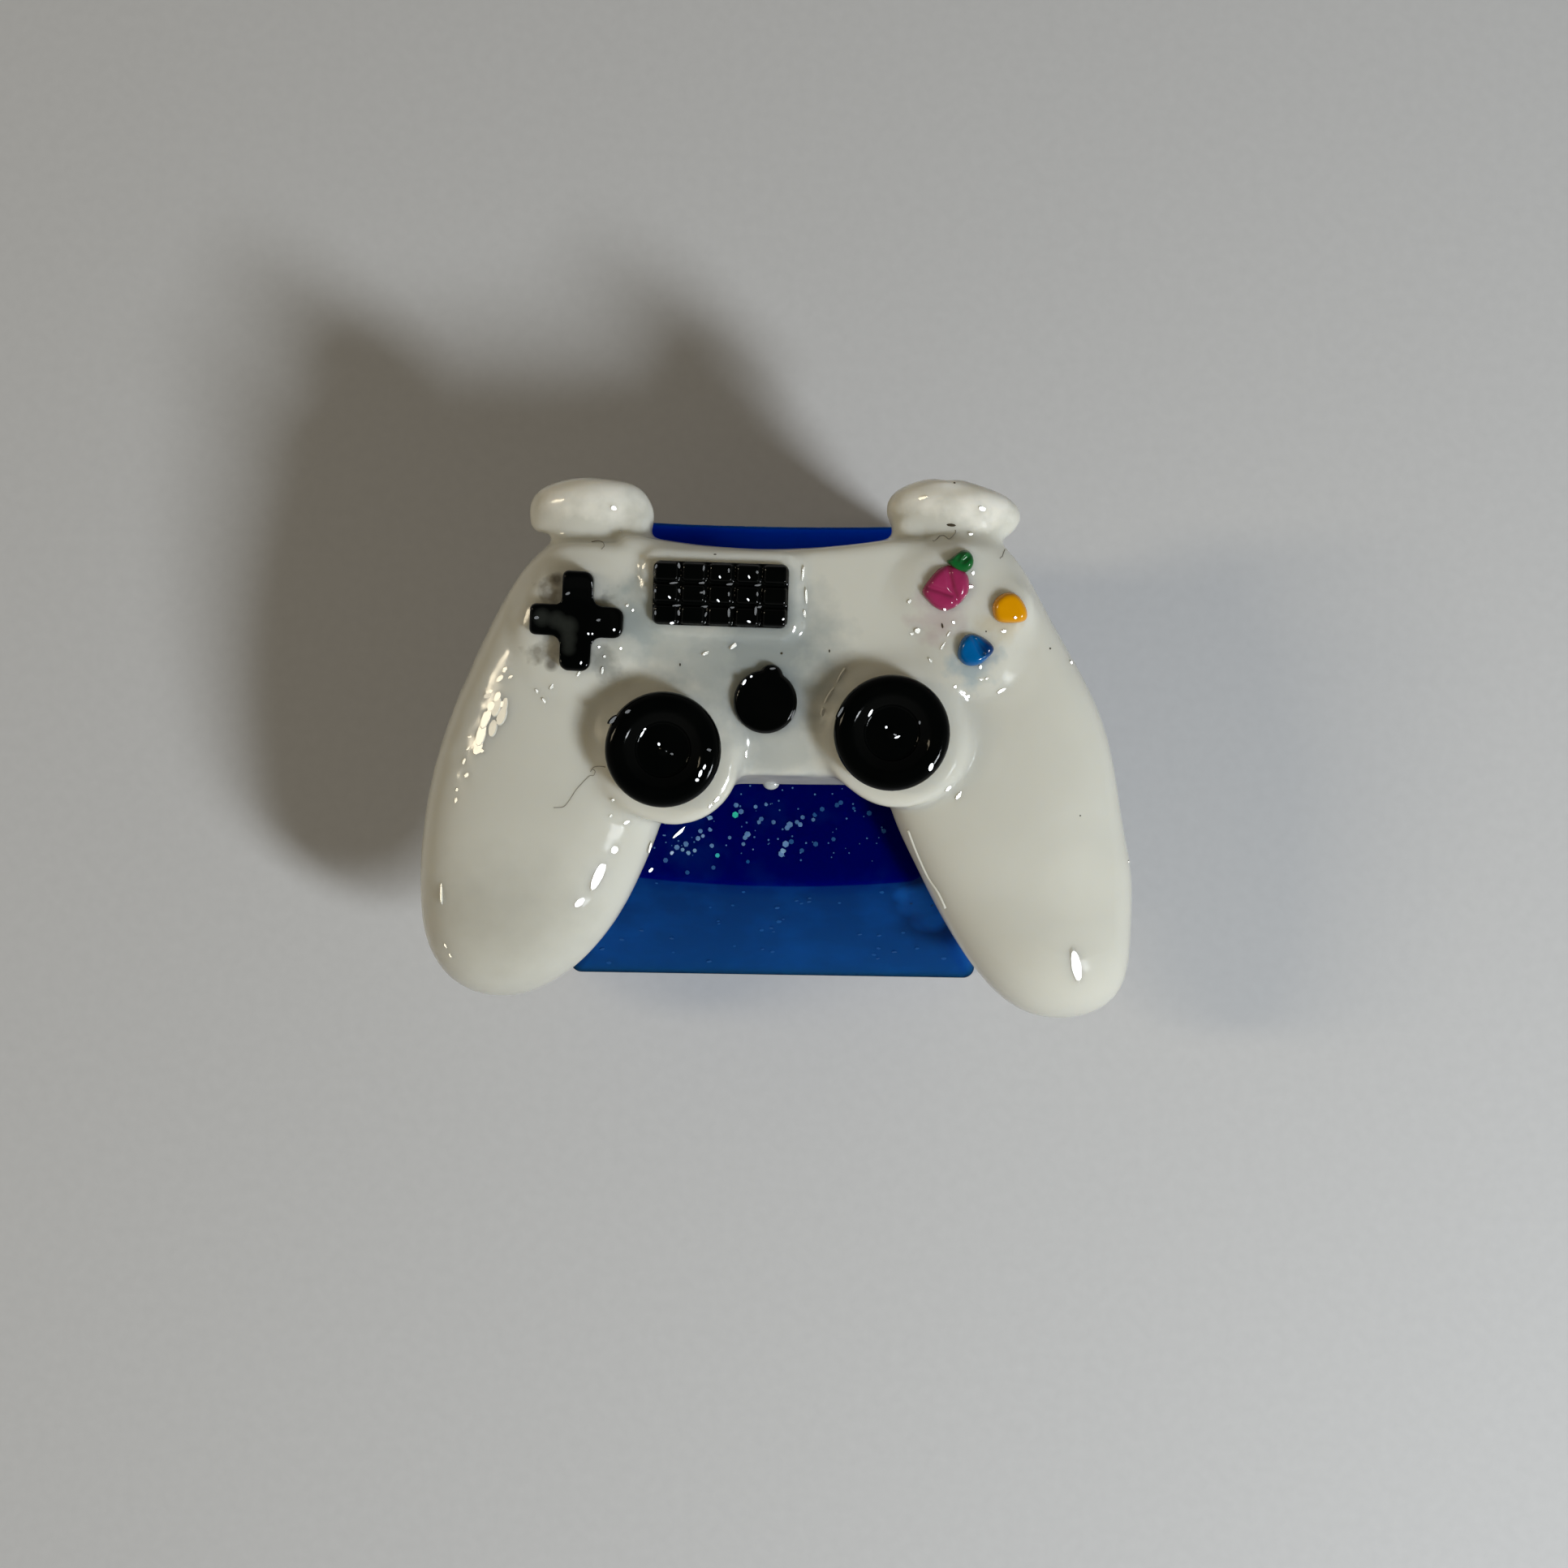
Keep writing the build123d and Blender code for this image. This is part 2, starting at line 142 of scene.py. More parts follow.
def solid_copy(name):
    """A merged copy of a CAD node."""
    form = bmesh.new()
    form.from_mesh(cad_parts[name].data)
    bmesh.ops.scale(form, vec=(1 / MM,) * 3, verts=form.verts)
    bmesh.ops.remove_doubles(form, verts=form.verts, dist=weld_distance)
    return form


def joined(form, other):
    """Adds another form to this one and frees it."""
    loose = bpy.data.meshes.new("loose")
    other.to_mesh(loose)
    form.from_mesh(loose)
    bpy.data.meshes.remove(loose)
    other.free()


def recast(form, grain):
    """The same form as one skin of even cells, as if it were cast anew."""
    rough = bpy.data.meshes.new("rough")
    form.to_mesh(rough)
    form.free()
    holder = bpy.data.objects.new("rough", rough)
    scene.collection.objects.link(holder)
    skin = holder.modifiers.new("skin", "REMESH")
    skin.mode = "VOXEL"
    skin.voxel_size = grain
    graph = bpy.context.evaluated_depsgraph_get()
    even = bpy.data.meshes.new_from_object(holder.evaluated_get(graph))
    form = bmesh.new()
    form.from_mesh(even)
    bpy.data.objects.remove(holder)
    bpy.data.meshes.remove(rough)
    bpy.data.meshes.remove(even)
    return form


def relaxed(form, rounds, verts=None):
    """Softens edges and creases the way resin settles before it sets."""
    axes = {"use_axis_x": True, "use_axis_y": True, "use_axis_z": True}
    for _ in range(rounds):
        bmesh.ops.smooth_vert(form, verts=verts or form.verts, factor=relax_share, **axes)


def uneven(form, depth, width, start):
    """Slow waves on the surface, such as hand finishing leaves."""
    form.normal_update()
    shift = Vector((start, 2 * start, 3 * start))
    for vert in form.verts:
        vert.co += vert.normal * depth * noise.noise(vert.co / width + shift)


def finished(form, name, material, nodes=(), crease=math.pi):
    """Makes a form a piece of the keycap, in metres, and lets it stand for its CAD nodes."""
    bmesh.ops.scale(form, vec=(MM,) * 3, verts=form.verts)
    form.normal_update()
    for face in form.faces:
        face.smooth = True
    for edge in form.edges:
        edge.smooth = edge.calc_face_angle(0.0) < crease
    mesh = bpy.data.meshes.new(name)
    form.to_mesh(mesh)
    form.free()
    mesh.materials.append(material)
    piece = bpy.data.objects.new(name, mesh)
    scene.collection.objects.link(piece)
    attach(piece, "root")
    if nodes:
        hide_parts(*nodes)
    return piece


def surface(*pieces):
    """What a line of sight can meet, in millimetres."""
    form = bmesh.new()
    for piece in pieces:
        form.from_mesh(piece.data)
    bmesh.ops.scale(form, vec=(1 / MM,) * 3, verts=form.verts)
    tree = BVHTree.FromBMesh(form)
    form.free()
    return tree


# Shader work
def linear(code):
    """An sRGB hex colour as linear red, green, blue and alpha."""
    parts = [int(code[i : i + 2], 16) / 255 for i in (1, 3, 5)]
    return (*[p / 12.92 if p <= 0.04045 else ((p + 0.055) / 1.055) ** 2.4 for p in parts], 1.0)


def add(tree, kind, sockets=None, **settings):
    """Adds a shader node; a socket takes a plain value or another node's output."""
    made = tree.nodes.new("ShaderNode" + kind)
    for name, value in settings.items():
        setattr(made, name, value)
    for name, value in (sockets or {}).items():
        if isinstance(value, bpy.types.NodeSocket):
            tree.links.new(value, made.inputs[name])
        else:
            made.inputs[name].default_value = value
    return made


def finish(name, sockets):
    """A new material with plain values on its shader's own sockets."""
    material = bpy.data.materials.new(name)
    material.use_nodes = True
    shader = material.node_tree.nodes["Principled BSDF"]
    for socket, value in sockets.items():
        shader.inputs[socket].default_value = value
    return material, material.node_tree, shader


def blend(tree, share, first, second):
    """A mix of two colours, which a Mix node takes on its sockets 6 and 7."""
    return add(tree, "Mix", {0: share, 6: first, 7: second}, data_type="RGBA").outputs[2]


def ranged(tree, value, low, high, first=0.0, last=1.0, **settings):
    """A value that goes from first to last while another goes from low to high."""
    sockets = {0: value, 1: low, 2: high, 3: first, 4: last}
    return add(tree, "MapRange", sockets, **settings).outputs[0]


def distance(tree, place, center):
    """How far a place is from a point."""
    return add(tree, "VectorMath", {0: place, 1: center}, operation="DISTANCE").outputs["Value"]


def cloudiness(tree, place, size, detail):
    """A noise pattern with spots of that size in millimetres."""
    return add(tree, "TexNoise", {"Vector": place, "Scale": 1 / (size * MM), "Detail": detail})


def object_place(tree):
    """Shader coordinates of the piece, in metres."""
    return add(tree, "TexCoord").outputs["Object"]


def pad_place_of(tree, place):
    """Shader coordinates on the game pad, in millimetres."""
    sockets = {
        "Vector": place,
        "Location": pad_origin * MM,
        "Rotation": (slant, 0, 0),
        "Scale": (MM,) * 3,
    }
    return add(tree, "Mapping", sockets, vector_type="TEXTURE").outputs[0]


# Share of a spot's radius that has its full strength
spot_core = 0.35


def with_stains_and_painted_light(tree, tint, place, tint_spots):
    """A tint with soft round spots of other colours, used for real stains and for painted light and
    shade.
    """
    for center, radius, color, strength in tint_spots:
        apart = distance(tree, place, center)
        cover = ranged(tree, apart, low=spot_core * radius, high=radius, first=strength, last=0.0)
        tint = blend(tree, cover, tint, linear(color))
    return tint


def mottled(name, sockets, size, detail, pale, deep):
    """A material whose tint wavers between two colours, in spots of that size in millimetres."""
    material, tree, shader = finish(name, sockets)
    cloud = cloudiness(tree, object_place(tree), size, detail).outputs["Fac"]
    tint = blend(tree, cloud, linear(pale), linear(deep))
    tree.links.new(tint, shader.inputs["Base Color"])
    return material


# Stains, painted shade and painted light in the white resin: (place on the game pad, radius,
# colour, strength)
white_stains_and_painted_light = [
    # Painted shade on the plate between the bosses and beside the panel
    ((-0.4, 2.2, 3.4), 3.9, "#8f9694", 0.85),
    ((-5.4, 3.6, 3.5), 2.2, "#98a09d", 0.75),
    ((0.2, -1.6, 3.3), 2.6, "#a2a6a2", 0.6),
    ((-3.4, 1.6, 3.4), 1.8, "#a0a5a1", 0.6),
    # Painted shade toward the tip of the left grip
    ((-10.9, -9.4, 1.5), 4.5, "#b4b2a6", 0.5),
    # Tints beside the colour drops
    ((8.0, 1.8, 3.7), 1.2, "#7f9ba8", 0.5),
    ((6.5, 3.9, 3.7), 1.3, "#ab9094", 0.4),
    ((9.0, 3.5, 3.7), 1.1, "#bfb08a", 0.4),
    # Darker grey-brown at the four inner corners of the direction pad
    ((-9.1, 4.8, 3.7), 0.7, "#6b6153", 0.6),
    ((-6.8, 4.65, 3.7), 0.6, "#7d7d76", 0.5),
    ((-9.5, 2.3, 3.7), 0.8, "#6d675a", 0.6),
    ((-6.9, 1.8, 3.7), 0.9, "#74766f", 0.5),
    # Painted light on the crowns of both bumpers
    ((-8.6, 9.0, 2.7), 1.7, "#f0ede2", 0.7),
    ((-6.7, 9.0, 2.7), 1.7, "#f0ede2", 0.7),
    ((5.6, 9.1, 2.5), 1.6, "#f0ede2", 0.7),
    ((7.3, 9.2, 2.6), 1.8, "#f0ede2", 0.8),
    ((8.7, 8.8, 2.5), 1.5, "#f0ede2", 0.8),
]
# How far their edges waver, in millimetres
spot_waver = 2.6
# Brown dots beside the direction pad, listed as the stains are
white_dots = [
    ((-8.95, 5.1, 3.7), 0.34, "#43382b", 0.7),
    ((-9.15, 1.62, 3.7), 0.34, "#43382b", 0.7),
]
# Where the white resin was never buffed: (place on the game pad, radius)
dull_places = [
    ((-7.2, -0.9, 3.6), 1.8),
    ((2.1, -0.2, 3.65), 1.8),
    ((12.85, -10.5, 3.05), 2.0),
    ((12.6, -7.1, 3.05), 1.7),
    ((9.55, 1.4, 3.5), 1.3),
    ((9.95, 3.4, 3.6), 1.1),
    ((-6.5, -5.4, 2.85), 1.6),
    ((-7.1, -6.95, 2.8), 1.8),
    ((-7.85, -8.15, 2.87), 1.8),
    ((8.35, 7.5, 2.67), 1.5),
    ((5.5, 8.05, 2.55), 0.8),
    ((5.05, 7.45, 2.5), 0.8),
    ((7.25, -2.35, 3.8), 1.2),
    ((8.15, -1.9, 3.4), 1.2),
]
# The shine left there, and the shares of the radius between which the full shine returns
dull_shine = 0.06
dull_core = 0.6
dull_edge = 1.2
# The two tints that cloud the white
white_pale = "#d2d1c6"
white_deep = "#c8c6ba"


# Cast white polyurethane, polished by hand: milky and warm, stained where other pours bleed into
# it, with painted shade on the plate and the left grip's tip and painted light on the bumper crowns
def cast_white_resin():
    material, tree, shader = finish(
        "cast_white_resin",
        {
            "IOR": 1.5,
            "Subsurface Weight": 0.8,
            "Subsurface Scale": 1.4 * MM,
            "Subsurface Radius": (1, 0.9, 0.75),
        },
    )
    place = object_place(tree)
    pad_place = pad_place_of(tree, place)
    cloud = cloudiness(tree, place, size=5, detail=3).outputs["Fac"]
    tint = blend(tree, cloud, linear(white_pale), linear(white_deep))
    waver = cloudiness(tree, place, size=0.9, detail=3).outputs["Color"]
    middle = (0.5,) * 3
    shift = add(tree, "VectorMath", {0: waver, 1: middle}, operation="SUBTRACT").outputs[0]
    spread = add(tree, "VectorMath", {0: shift, "Scale": spot_waver}, operation="SCALE").outputs[0]
    wavering = add(tree, "VectorMath", {0: pad_place, 1: spread}, operation="ADD").outputs[0]
    # Stains, painted shade and painted light, their edges wavering
    tint = with_stains_and_painted_light(tree, tint, wavering, white_stains_and_painted_light)
    tint = with_stains_and_painted_light(tree, tint, pad_place, white_dots)
    tree.links.new(tint, shader.inputs["Base Color"])
    polish = cloudiness(tree, place, size=1.2, detail=4).outputs["Fac"]
    gloss = ranged(tree, polish, low=0.3, high=0.7, first=0.08, last=0.2)
    tree.links.new(gloss, shader.inputs["Roughness"])
    shine = 1.0
    for center, radius in dull_places:
        share = ranged(
            tree,
            distance(tree, pad_place, center),
            low=dull_core * radius,
            high=dull_edge * radius,
            first=dull_shine,
            interpolation_type="SMOOTHSTEP",
        )
        shine = add(tree, "Math", {0: shine, 1: share}, operation="MINIMUM").outputs[0]
    tree.links.new(shine, shader.inputs["Specular Tint"])
    grain = cloudiness(tree, place, size=0.35, detail=2).outputs["Fac"]
    bump = add(tree, "Bump", {"Height": grain, "Strength": 0.04, "Distance": 0.05 * MM}).outputs[0]
    tree.links.new(bump, shader.inputs["Normal"])
    return material


# Painted light in the blue beside the right grip, over the shadow that the grip casts, listed as
# the stains are
painted_blue_light = [
    ((6.0, -8.2, -1.2), 1.0, "#1461b9", 0.8),
    ((6.4, -8.8, -2.0), 1.2, "#1461b9", 0.8),
    ((6.95, -9.55, -3.05), 1.1, "#1461b9", 0.8),
]
# Height above the floor at which the sides are darkest
side_height = 8.5
# Where the painted light along the back of the top starts and where it is full
painted_light_back_start = 5.2
painted_light_back_full = 6.2


# Deep blue clear resin: nearly black from above, milkier down the sides, with painted light along
# the back of the top and beside the right grip
def blue_glitter_resin():
    material, tree, shader = finish(
        "blue_glitter_resin",
        {
            "IOR": 1.3,
            "Specular IOR Level": 0.02,
            "Roughness": 0.12,
            "Subsurface Weight": 0.9,
            "Subsurface Scale": 4 * MM,
            "Subsurface Radius": (0.3, 0.6, 1.0),
        },
    )
    place = object_place(tree)
    pad_place = pad_place_of(tree, place)
    up = add(tree, "SeparateXYZ", {0: place}).outputs["Z"]
    back = add(tree, "SeparateXYZ", {0: pad_place}).outputs["Y"]
    haze = cloudiness(tree, place, size=2.2, detail=3).outputs["Fac"]
    depth = ranged(tree, up, low=0.0, high=side_height * MM)
    side = blend(tree, depth, linear("#083c76"), linear("#00235a"))
    cloudy = ranged(tree, haze, low=0.45, high=0.75, last=0.35)
    side = blend(tree, cloudy, side, linear("#084a94"))
    dusted = ranged(tree, haze, low=0.5, high=0.8, last=0.5)
    top = blend(tree, dusted, linear("#000252"), linear("#03286a"))
    # Painted light along the back of the top, where the game pad shades it
    behind = ranged(tree, back, low=painted_light_back_start, high=painted_light_back_full)
    top = blend(tree, behind, top, linear("#0035b4"))
    normal = add(tree, "TexCoord").outputs["Normal"]
    facing = add(tree, "VectorMath", {0: normal, 1: pad_up}, operation="DOT_PRODUCT")
    on_top = ranged(tree, facing.outputs["Value"], low=0.6, high=0.8)
    tint = blend(tree, on_top, side, top)
    # Painted light beside the right grip
    tint = with_stains_and_painted_light(tree, tint, pad_place, painted_blue_light)
    tree.links.new(tint, shader.inputs["Base Color"])
    return material


# Black casting resin, glossy as it left the mould
def gloss_black_resin(name, shine, tint_spots=()):
    sockets = {"IOR": 1.5, "Specular IOR Level": shine, "Roughness": 0.08}
    material, tree, shader = finish(name, sockets)
    place = object_place(tree)
    cloud = cloudiness(tree, place, size=1.5, detail=3).outputs["Fac"]
    tint = blend(tree, cloud, linear("#010202"), linear("#060706"))
    if tint_spots:
        tint = with_stains_and_painted_light(tree, tint, pad_place_of(tree, place), tint_spots)
    tree.links.new(tint, shader.inputs["Base Color"])
    bump = add(tree, "Bump", {"Height": cloud, "Strength": 0.08, "Distance": 0.1 * MM}).outputs[0]
    tree.links.new(bump, shader.inputs["Normal"])
    return material


# Tinted resin drops, dabbed on by hand, so the pigment is streaked and the gloss soft
def tinted_resin(name, pale, deep, tint_spots=()):
    sockets = {"IOR": 1.48, "Specular IOR Level": 0.35, "Roughness": 0.16}
    material, tree, shader = finish(name, sockets)
    place = object_place(tree)
    streak = cloudiness(tree, place, size=0.7, detail=3).outputs["Fac"]
    tint = blend(tree, streak, linear(pale), linear(deep))
    if tint_spots:
        tint = with_stains_and_painted_light(tree, tint, pad_place_of(tree, place), tint_spots)
    tree.links.new(tint, shader.inputs["Base Color"])
    return material


# Glitter film: silver or coloured, each flake flecked with the blue that lies over it
def glitter_film(name, color, shine):
    sockets = {"Specular IOR Level": shine, "Roughness": 0.35}
    return mottled(name, sockets, size=0.3, detail=1, pale=color, deep="#174a84")


# Resin polished until it mirrors a window as a hard glint
def polished_resin(name, pale, deep, shine):
    sockets = {"IOR": 1.5, "Specular IOR Level": shine, "Roughness": 0.06}
    return mottled(name, sockets, size=0.4, detail=2, pale=pale, deep=deep)


# Lint and dust that stuck to the resin: dry, dull and grey-brown
def dull_dust(name, pale, deep):
    sockets = {"Roughness": 0.9, "Specular IOR Level": 0.1}
    return mottled(name, sockets, size=0.2, detail=2, pale=pale, deep=deep)


# Pale matt board under the keycap, with the faint tooth of paper
def pale_board():
    sockets = {"Roughness": 0.75, "Specular IOR Level": 0.2}
    return mottled("pale_board", sockets, size=0.5, detail=4, pale="#c9c9c9", deep="#c1c1c1")


# A painted reflection of the warm window in the hollow of the direction pad, listed as the stains
# are
painted_reflection_spots = [
    ((-9.5, 3.55, 4.3), 0.45, "#2a2c28", 0.7),
    ((-8.9, 3.45, 4.3), 0.45, "#2a2c28", 0.7),
    ((-8.45, 3.2, 4.3), 0.5, "#2a2c28", 0.8),
    ((-8.4, 2.7, 4.3), 0.4, "#2a2c28", 0.7),
    ((-8.4, 2.3, 4.3), 0.35, "#2a2c28", 0.6),
]
white = cast_white_resin()
blue = blue_glitter_resin()
black = gloss_black_resin("gloss_black_resin", shine=0.2)
worn_black = gloss_black_resin("worn_black_resin", shine=0.08)
# The direction pad's black carries a painted reflection
black_with_painted_reflection = gloss_black_resin("black_resin_with_painted_reflection", shine=0.2, tint_spots=painted_reflection_spots)

# Game pad body: the CAD form cast again with soft creases, its seats filled under the other pours
pad_grain = 0.14
pad_rounds = 8
inlays = {
    "direction_pad": small_boss_level,
    "touch_panel": plinth_level,
    "left_thumbstick": stick_boss_level,
    "right_thumbstick": stick_boss_level,
    "home_button": plate_level,
    "pink_button": small_boss_level,
    "green_button": small_boss_level,
    "yellow_button": small_boss_level,
    "blue_button": small_boss_level,
}
# Where its creases are softest: (place on the game pad, reach, rounds)
soft_places = [
    ((7.6, 3.9), 3.4, 55),
    ((-8.1, 3.2), 3.1, 55),
    ((-4.8, -1.2), 4.2, 20),
    ((4.45, -0.35), 4.0, 20),
    ((12.6, -7.1), 3.0, 80),
]
soft_floor = 2.4
# Where the casting came out ragged: (place on the game pad, reach)
ragged_patches = [
    ((-11.6, 1.2), 1.9),
    ((-12.4, -0.6), 1.8),
    ((-13.0, -2.4), 1.8),
    ((-6.9, -4.8), 1.8),
    ((-7.6, -6.6), 2.0),
    ((7.6, 3.0), 3.2),
    ((-7.6, 3.0), 2.8),
]
ragged_depth = 0.024
ragged_width = 0.7
ragged_floor = 0.5
ragged_gain = 2
# The back of the right bumper is flatter than its solid
hump_place = (6.95, 9.2)
hump_reach = 1.6
hump_depth = 0.17
# Both bumpers have flatter crowns than their solids, raised more and more toward the back
crown_start = 7.6
crown_lift = 0.165
crown_foot = 0.9
crown_full = 2.0

body = solid_copy("gamepad_body")
for inlay, level in inlays.items():
    plug = solid_copy(inlay)
    cut = bmesh.ops.bisect_plane(
        plug,
        geom=[*plug.verts, *plug.edges, *plug.faces],
        plane_co=on_pad(0, 0, level),
        plane_no=pad_up,
        clear_outer=True,
    )
    rim = [part for part in cut["geom_cut"] if isinstance(part, bmesh.types.BMEdge)]
    bmesh.ops.holes_fill(plug, edges=rim)
    joined(body, plug)
body = recast(body, pad_grain)
relaxed(body, pad_rounds)
for (across, behind), reach, rounds in soft_places:
    soft = []
    for vert in body.verts:
        x, y, height = pad_coordinates(vert.co)
        if math.hypot(x - across, y - behind) < reach and height > soft_floor:
            soft.append(vert)
    relaxed(body, rounds, soft)
uneven(body, depth=0.018, width=3.0, start=1.7)
body.normal_update()
for vert in body.verts:
    x, y, height = pad_coordinates(vert.co)
    nearness = [
        1 - math.hypot(x - across, y - behind) / reach
        for (across, behind), reach in ragged_patches
    ]
    rough = min(ragged_gain * max(nearness), 1.0)
    if rough > 0 and height > ragged_floor:
        vert.co += vert.normal * ragged_depth * rough * noise.noise(vert.co / ragged_width)
    near = max(1 - math.hypot(x - hump_place[0], y - hump_place[1]) / hump_reach, 0.0)
    vert.co -= pad_back * hump_depth * near * near * (3 - 2 * near)
    if y > crown_start:
        share = min(max((height - crown_foot) / (crown_full - crown_foot), 0.0), 1.0)
        vert.co += pad_up * crown_lift * share * (y - crown_start) ** 2
pad_piece = finished(body, "white_game_pad", white, ["gamepad_body"])

# Keycap base, with its exact edges
base_crease = math.radians(28)
base_form = solid_copy("keycap_base")
base_piece = finished(base_form, "blue_keycap", blue, ["keycap_base"], base_crease)

# Black pours
pour_grain = 0.04
black_rounds = 5
black_skins = {
    "direction_pad": black_with_painted_reflection,
    "touch_panel": black,
    "left_thumbstick": worn_black,
    "right_thumbstick": worn_black,
    "home_button": black,
}
black_pieces = []
for node, skin in black_skins.items():
    form = recast(solid_copy(node), pour_grain)
    relaxed(form, black_rounds)
    black_pieces.append(finished(form, "black_" + node, skin, [node]))

# Colour drops: (pale colour, deep colour, slot, stains), the blue one darker at its right end
blue_drop_dark_end = [((8.62, 2.6, 4.1), 0.55, "#012c5c", 1.0)]
drop_finishes = {
    "pink_button": ("#a0305c", "#8a264c", "pink_resin", []),
    "green_button": ("#18632c", "#105224", "green_resin", []),
    "yellow_button": ("#dc9602", "#cc8a01", "yellow_resin", []),
    "blue_button": ("#01609c", "#014f8c", "sky_blue_resin", blue_drop_dark_end),
}
drop_rounds = 3
# Creases pressed into three of them: (start, end) on the game pad
drop_folds = {
    "pink_button": [
        ((6.87, 5.79), (7.05, 4.98)),
        ((7.05, 4.98), (7.4, 4.25)),
        ((6.0, 5.06), (7.1, 4.72)),
    ],
    "green_button": [((7.49, 6.6), (7.3, 6.2)), ((7.8, 6.35), (7.5, 6.1))],
    "blue_button": [((7.95, 3.0), (8.35, 2.4))],
}
fold_depth = 0.13
fold_width = 0.12
fold_height = 0.45


def folded(form, folds):
    """Presses creases into a drop, deepest where it stands highest."""
    for vert in form.verts:
        x, y, height = pad_coordinates(vert.co)
        apart = []
        for start, end in folds:
            share = intersect_point_line((x, y), start, end)[1]
            foot = Vector(start).lerp(Vector(end), min(max(share, 0.0), 1.0))
            apart.append((Vector((x, y)) - foot).length)
        sink = max(height - small_boss_level, 0.0) / fold_height
        vert.co -= pad_up * fold_depth * sink * math.exp(-((min(apart) / fold_width) ** 2))


drop_pieces = []
for node, (pale, deep, slot, tint_spots) in drop_finishes.items():
    form = recast(solid_copy(node), pour_grain)
    relaxed(form, drop_rounds)
    if node in drop_folds:
        folded(form, drop_folds[node])
        uneven(form, depth=0.04, width=0.5, start=5.3)
    skin = tinted_resin("tinted_" + slot, pale, deep, tint_spots)
    drop_pieces.append(finished(form, "soft_" + node, skin, [node]))

# What the small things below are laid on
pad_skin = surface(pad_piece)
base_skin = surface(base_piece)
whole_skin = surface(pad_piece, base_piece, *black_pieces, *drop_pieces)

# Glitter: thin hexagonal flakes set in the skin of the blue resin
flake_seed = 11
chance = random.Random(flake_seed)
flake_thickness = 0.03
flake_tip = 0.2
flake_crease = 0.5


def flake(form, point, normal, radius):
    """One flake, nearly level with the surface that holds it."""
    tip = Vector([chance.uniform(-flake_tip, flake_tip) for _ in range(3)])
    facing = (normal + tip).normalized().to_track_quat("Z", "Y").to_matrix().to_4x4()
    spin = Matrix.Rotation(chance.uniform(0, math.pi), 4, "Z")
    bmesh.ops.create_cone(
        form,
        cap_ends=True,
        segments=6,
        radius1=radius,
        radius2=radius,
        depth=flake_thickness,
        matrix=Matrix.Translation(point) @ facing @ spin,
    )


# Flakes on the top, by the pixels where the photograph shows them
silver_sights = [
    (907, 992), (913, 1000), (931, 994), (944, 991), (935, 1013), (953, 1013), (970, 1020),
    (875, 1022), (863, 1024), (860, 1033), (899, 1032), (918, 1032), (916, 1040), (877, 1042),
    (834, 1044), (845, 1040), (968, 1040), (986, 1016), (989, 1007), (1002, 1010), (938, 1009),
    (973, 1016), (982, 1013), (963, 1052), (866, 1030), (921, 1028),
]
bright_sights = [
    (841, 1047), (828, 1051), (848, 1051), (856, 1048), (875, 1008), (965, 1048),
]
dim_sights = [
    (879, 1069), (847, 1075), (820, 1060), (975, 1037), (988, 1048), (1004, 1004), (1013, 997),
    (1031, 992), (1036, 989), (1052, 996), (1071, 1002), (1089, 1024), (1005, 1040), (1027, 1034),
]
teal_sights = [(884, 1054)]
green_sights = [(906, 1004)]
# (pixels, smallest radius, largest radius, material, colour, shine)
flake_groups = {
    "silver_flakes": (silver_sights, 0.08, 0.15, "silver_glitter", "#7090b6", 0.2),
    "bright_flakes": (bright_sights, 0.08, 0.13, "bright_silver_glitter", "#98bbd5", 0.3),
    "dim_flakes": (dim_sights, 0.07, 0.12, "sunken_silver_glitter", "#2c4a78", 0.05),
    "teal_flakes": (teal_sights, 0.1, 0.1, "teal_glitter", "#3fd0c4", 0.3),
    # A green flake, its colour painted as bright as its glint
    "green_flakes": (green_sights, 0.14, 0.14, "green_glitter_with_painted_glint", "#2bffab", 0.3),
}
for name, (sights, smallest, largest, skin, color, shine) in flake_groups.items():
    flakes = bmesh.new()
    for column, row in sights:
        flake(flakes, *sighted(base_skin, column, row), chance.uniform(smallest, largest))
    finished(flakes, name, glitter_film(skin, color, shine), crease=flake_crease)

# Dust-fine flakes scattered over the front of the top, each found from above
fine_count = 90
fine_across = (-5.5, 5.5)
fine_behind = (-6.8, -3.2)
fine_sizes = (0.02, 0.045)
fine_start = 5
fine_flakes = bmesh.new()
for _ in range(fine_count):
    point = on_pad(chance.uniform(*fine_across), chance.uniform(*fine_behind), fine_start)
    spot, normal = base_skin.ray_cast(point, -pad_up)[:2]
    flake(fine_flakes, spot, normal, chance.uniform(*fine_sizes))
fine_film = glitter_film("fine_silver_glitter", "#5878a6", shine=0.1)
finished(fine_flakes, "fine_flakes", fine_film, crease=flake_crease)

# Flakes in the four walls, each found from outside, as dim as if they lay deeper
faint_count = 45
faint_across = (-8, 8)
faint_heights = (0.6, 8.5)
faint_sizes = (0.06, 0.13)
faint_start = 20
wall_views = [Vector((0, -1, 0)), Vector((0, 1, 0)), Vector((-1, 0, 0)), Vector((1, 0, 0))]
floor_up = Vector((0, 0, 1))
faint_flakes = bmesh.new()
for view in wall_views:
    across = floor_up.cross(view)
    for _ in range(faint_count):
        start = across * chance.uniform(*faint_across) + floor_up * chance.uniform(*faint_heights)
        spot, normal = base_skin.ray_cast(start + faint_start * view, -view)[:2]
        if spot:
            flake(faint_flakes, spot, normal, chance.uniform(*faint_sizes))
faint_film = glitter_film("faint_glitter", "#1c4e88", shine=0.02)
finished(faint_flakes, "faint_flakes", faint_film, crease=flake_crease)

